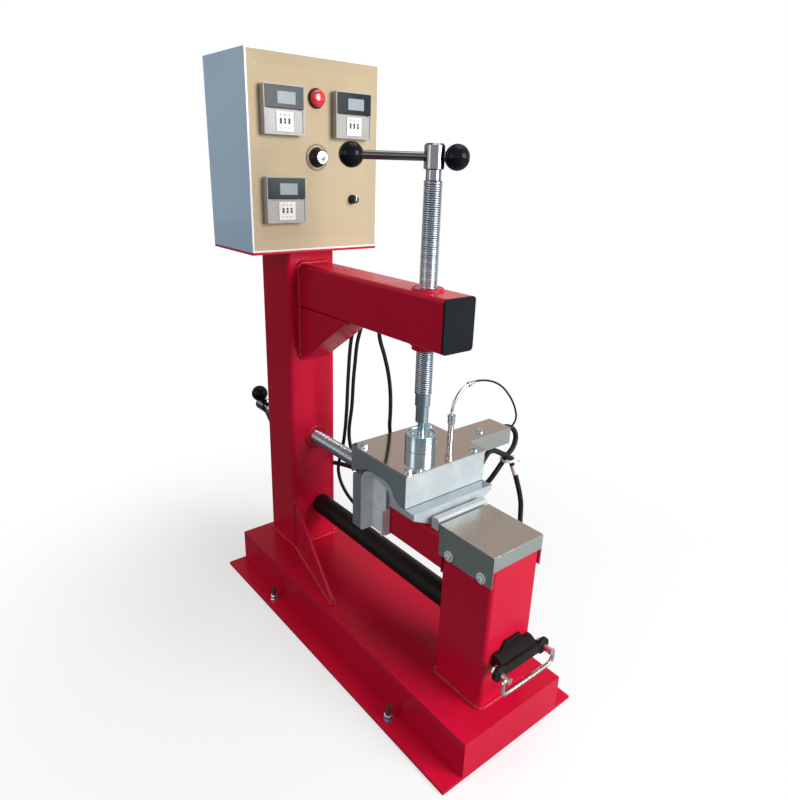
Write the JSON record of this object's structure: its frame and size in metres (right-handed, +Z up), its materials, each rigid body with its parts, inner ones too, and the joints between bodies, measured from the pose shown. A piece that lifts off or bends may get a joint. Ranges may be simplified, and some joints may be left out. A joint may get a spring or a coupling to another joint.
{
  "type": "tire vulcanizer",
  "caption": "Floor-standing spot vulcanizer: a screw press closes heated aluminium moulds on a tyre, with a second screw for the side mould and a timer control box.",
  "frame": {"origin": "middle of the four anchor holes, on the floor", "axes": "+Z up along the anchor bolts, +X to the machine's right seen from its front, +Y from the front handle back to the column"},
  "size_m": [0.3946, 0.8135, 0.982],
  "materials": {
    "red_paint": "gloss",
    "black_plastic": "matte",
    "stainless_sheet": "polished",
    "black_paint": "satin",
    "box_paint": "semi-gloss",
    "panel_paint": "satin",
    "controller_plastic": "satin",
    "window_plastic": "gloss",
    "bright_metal": "polished",
    "lamp_red": "gloss",
    "dial_metal": "satin",
    "wheel_white": "satin",
    "zinc_steel": "zinc plated",
    "black_balls": "gloss",
    "cast_aluminium": "as cast",
    "heater_steel": "heat stained",
    "cable_rubber": "matte",
    "tie_nylon": "satin"
  },
  "bodies": {
    "frame": {"base": "red_paint", "column": "red_paint", "column_gusset": "red_paint", "arm": "red_paint", "arm_gusset": "red_paint", "press_nut": "red_paint", "top_plate": "red_paint", "pedestal": "red_paint", "beam": "red_paint", "side_nut": "red_paint", "lamp_bezel": "black_plastic", "arm_end_cap": "black_plastic", "box_gland": "black_plastic", "cable_bushes": "black_plastic", "pedestal_cover": "stainless_sheet", "tie_tube": "black_paint", "handle_bracket": "black_paint", "control_box": "box_paint", "control_panel": "panel_paint", "controller_cases": "controller_plastic", "controller_windows": "window_plastic", "handle_posts": "bright_metal", "lamp_lens": "lamp_red", "timer_dial": "dial_metal", "lower_mould": "cast_aluminium", "clamp_bar": "cast_aluminium", "lower_heaters": "heater_steel", "side_cables": "cable_rubber", "hump_cable": "cable_rubber", "lower_cable": "cable_rubber", "upper_cable": "cable_rubber", "cable_tie": "tie_nylon"},
    "press": {"thrust_cup": "zinc_steel", "thrust_cap": "zinc_steel", "upper_mould": "cast_aluminium", "upper_heater": "heater_steel", "cover_plate": "stainless_sheet", "temperature_probe": "zinc_steel", "probe_lead": "cable_rubber"},
    "screw": {"press_screw": "zinc_steel"},
    "tbar": {"tbar_rod": "bright_metal", "tbar_balls": "black_balls"},
    "side": {"side_mould": "cast_aluminium", "side_heaters": "heater_steel", "side_thrust_ring": "zinc_steel"},
    "side_screw_body": {"side_screw": "zinc_steel"},
    "side_tbar": {"side_rod": "bright_metal", "side_balls": "black_balls"},
    "bail_body": {"bail": "bright_metal"},
    "timer": {"timer_knob": "black_plastic"},
    "switch": {"switch_knob": "black_plastic"},
    "wheel_1": {"digit_wheel_1": "wheel_white"},
    "wheel_2": {"digit_wheel_2": "wheel_white"},
    "wheel_3": {"digit_wheel_3": "wheel_white"},
    "wheel_4": {"digit_wheel_4": "wheel_white"},
    "wheel_5": {"digit_wheel_5": "wheel_white"},
    "wheel_6": {"digit_wheel_6": "wheel_white"},
    "wheel_7": {"digit_wheel_7": "wheel_white"},
    "wheel_8": {"digit_wheel_8": "wheel_white"},
    "wheel_9": {"digit_wheel_9": "wheel_white"}
  },
  "joints": [
    {"name": "press_slide", "type": "slide", "parent": "frame", "child": "press", "axis": [0, 0, 1], "range_m": [0, 0.07], "deforming": ["upper_cable"]},
    {"name": "screw_turn", "type": "hinge", "parent": "press", "child": "screw", "pos_m": [0.01, -0.08, 0.6], "axis": [0, 0, 1], "range_deg": [-2, 8402]},
    {"name": "tbar_slide", "type": "slide", "parent": "screw", "child": "tbar", "axis": [0.7314, -0.682, 0], "range_m": [0, 0.083]},
    {"name": "side_slide", "type": "slide", "parent": "frame", "child": "side", "axis": [0, 1, 0], "range_m": [-0.002, 0.05], "deforming": ["side_cables"]},
    {"name": "side_screw_turn", "type": "hinge", "parent": "side", "child": "side_screw_body", "pos_m": [0.01, 0.2, 0.306], "axis": [0, 1, 0], "range_deg": [-242, 6002]},
    {"name": "side_tbar_slide", "type": "slide", "parent": "side_screw_body", "child": "side_tbar", "axis": [-0.342, 0, 0.9397], "range_m": [0, 0.083]},
    {"name": "bail_swing", "type": "hinge", "parent": "frame", "child": "bail_body", "pos_m": [0.01, -0.337, 0.15], "axis": [1, 0, 0], "range_deg": [-120, 25]},
    {"name": "timer_turn", "type": "hinge", "parent": "frame", "child": "timer", "pos_m": [-0.008, 0.19, 0.832], "axis": [0, 1, 0], "range_deg": [0, 300]},
    {"name": "switch_turn", "type": "hinge", "parent": "frame", "child": "switch", "pos_m": [0.064, 0.19, 0.765], "axis": [0, 1, 0], "range_deg": [0, 90]},
    {"name": "wheel_1_turn", "type": "hinge", "parent": "frame", "child": "wheel_1", "pos_m": [-0.0815, 0.1871, 0.883], "axis": [1, 0, 0], "continuous": true},
    {"name": "wheel_2_turn", "type": "hinge", "parent": "frame", "child": "wheel_2", "pos_m": [-0.074, 0.1871, 0.883], "axis": [1, 0, 0], "continuous": true},
    {"name": "wheel_3_turn", "type": "hinge", "parent": "frame", "child": "wheel_3", "pos_m": [-0.0665, 0.1871, 0.883], "axis": [1, 0, 0], "continuous": true},
    {"name": "wheel_4_turn", "type": "hinge", "parent": "frame", "child": "wheel_4", "pos_m": [0.0505, 0.1871, 0.883], "axis": [1, 0, 0], "continuous": true},
    {"name": "wheel_5_turn", "type": "hinge", "parent": "frame", "child": "wheel_5", "pos_m": [0.058, 0.1871, 0.883], "axis": [1, 0, 0], "continuous": true},
    {"name": "wheel_6_turn", "type": "hinge", "parent": "frame", "child": "wheel_6", "pos_m": [0.0655, 0.1871, 0.883], "axis": [1, 0, 0], "continuous": true},
    {"name": "wheel_7_turn", "type": "hinge", "parent": "frame", "child": "wheel_7", "pos_m": [-0.0815, 0.1871, 0.749], "axis": [1, 0, 0], "continuous": true},
    {"name": "wheel_8_turn", "type": "hinge", "parent": "frame", "child": "wheel_8", "pos_m": [-0.074, 0.1871, 0.749], "axis": [1, 0, 0], "continuous": true},
    {"name": "wheel_9_turn", "type": "hinge", "parent": "frame", "child": "wheel_9", "pos_m": [-0.0665, 0.1871, 0.749], "axis": [1, 0, 0], "continuous": true}
  ],
  "couplings": [
    {"joint": "screw_turn", "follows": "press_slide", "rad_per_m": 2094.4},
    {"joint": "side_screw_turn", "follows": "side_slide", "rad_per_m": 2094.4}
  ]
}
